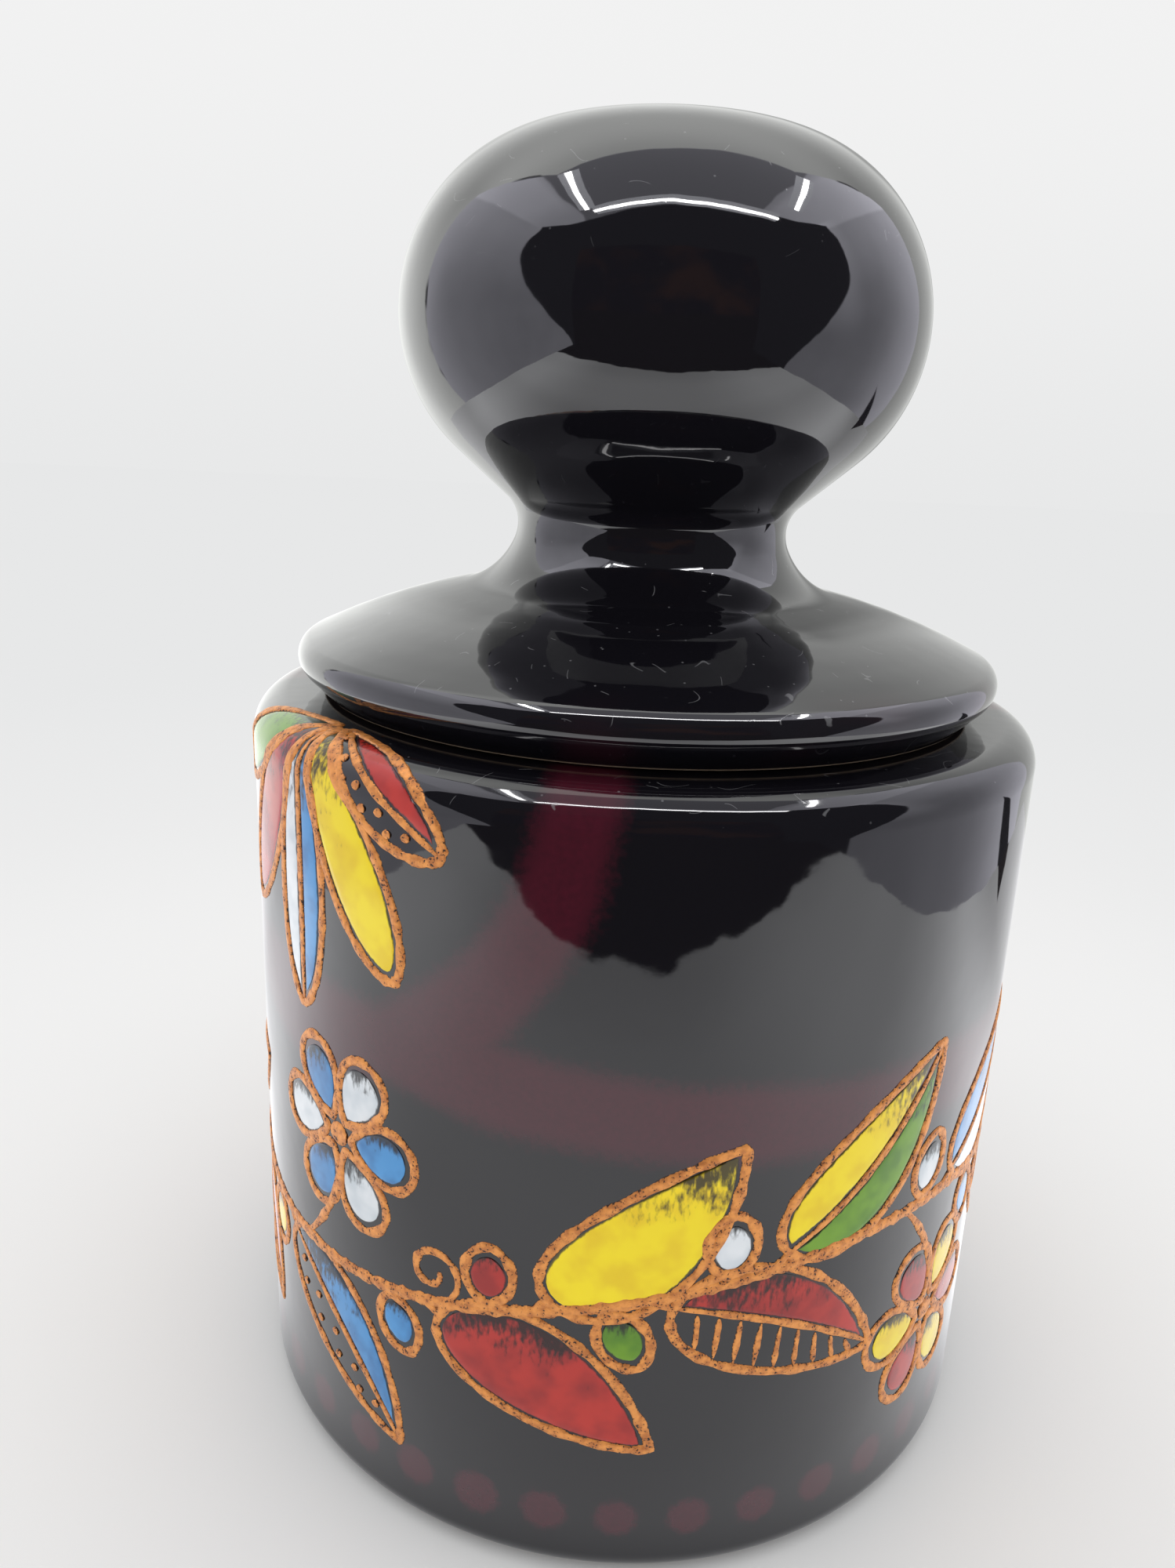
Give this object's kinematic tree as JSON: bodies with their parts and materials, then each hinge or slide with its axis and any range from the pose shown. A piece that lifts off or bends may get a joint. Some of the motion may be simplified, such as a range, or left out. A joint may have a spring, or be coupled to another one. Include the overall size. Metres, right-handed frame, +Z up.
{
  "type": "lidded candy jar",
  "caption": "Round straight-sided glazed ceramic candy jar with rounded shoulder and base, and a lift-off sloping lid with a waisted neck and large ball knob.",
  "frame": {"origin": "centre of the foot ring, on the surface that the jar stands on", "axes": "+Z up along the axis of the turned body and lid, -Y towards the picture's viewer"},
  "size_m": [0.156, 0.156, 0.2504],
  "materials": {
    "painted_black_glaze": "mirror-gloss black glaze over stoneware, painted round the wall with coloured enamels and raised copper outlines; bare clay foot ring",
    "black_glaze": "mirror-gloss black glaze over stoneware"
  },
  "bodies": {
    "jar": {"jar_body": "painted_black_glaze"},
    "lid": {"lid": "black_glaze"}
  },
  "joints": [
    {"name": "lid_lift", "type": "slide", "parent": "jar", "child": "lid", "axis": [0, 0, 1], "range_m": [0, 0.08]}
  ]
}
